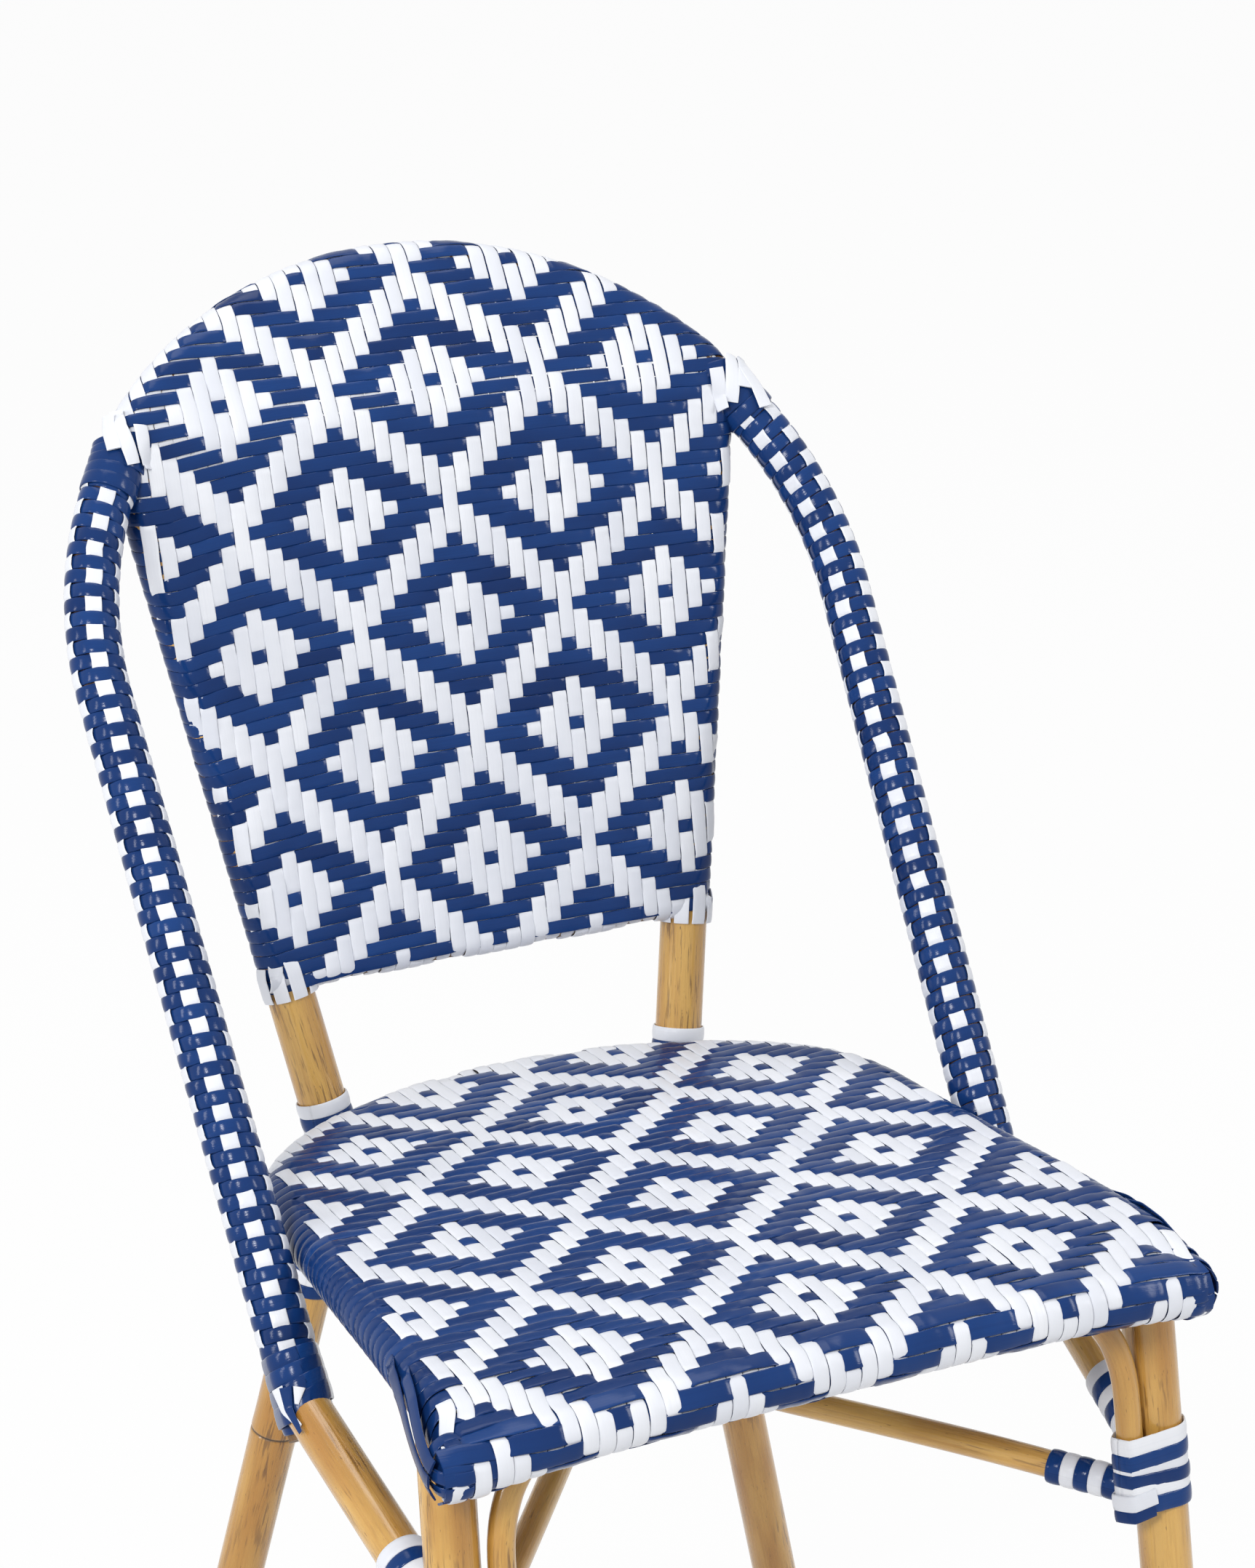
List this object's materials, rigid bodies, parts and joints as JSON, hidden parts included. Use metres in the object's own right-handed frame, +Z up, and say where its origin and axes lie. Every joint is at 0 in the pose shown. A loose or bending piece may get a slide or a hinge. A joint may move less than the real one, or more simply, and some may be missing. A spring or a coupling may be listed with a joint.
{
  "type": "bistro chair",
  "caption": "Hoop-back bistro side chair with bamboo-coloured rattan poles, a woven seat, a woven back panel and strip-laced arms.",
  "frame": {"origin": "centre of the chair's footprint box, on the floor", "axes": "+Z up, -Y the front of the chair, +X to the right as seen from the front"},
  "size_m": [0.4852, 0.6022, 0.8971],
  "materials": {
    "pole": "lacquered bamboo-coloured rattan, satin",
    "hidden_pole": "plain rattan",
    "woven_strip": "flat woven strip, blue with white, smooth satin",
    "binding_strip": "flat wound strip, white with blue, smooth satin",
    "glide": "matt"
  },
  "bodies": {
    "root": {"outer_hoop": "pole", "front_leg_left": "pole", "rear_leg_left": "pole", "side_brace_left": "pole", "cross_brace_left": "pole", "front_leg_right": "pole", "rear_leg_right": "pole", "side_brace_right": "pole", "cross_brace_right": "pole", "front_arch_brace": "pole", "seat_ring": "hidden_pole", "seat_front_rail": "hidden_pole", "seat_middle_rail": "hidden_pole", "back_bottom_rail": "hidden_pole", "seat_weave": "woven_strip", "back_weave": "woven_strip", "arm_lacing_left": "woven_strip", "front_leg_binding_left": "binding_strip", "rear_leg_binding_left": "binding_strip", "cross_brace_wrap_left": "binding_strip", "side_brace_wrap_left": "binding_strip", "post_wrap_left": "binding_strip", "arm_lacing_right": "woven_strip", "front_leg_binding_right": "binding_strip", "rear_leg_binding_right": "binding_strip", "cross_brace_wrap_right": "binding_strip", "side_brace_wrap_right": "binding_strip", "post_wrap_right": "binding_strip", "foot_glide_front_left": "glide", "foot_glide_front_right": "glide", "foot_glide_rear_left": "glide", "foot_glide_rear_right": "glide"}
  },
  "joints": []
}
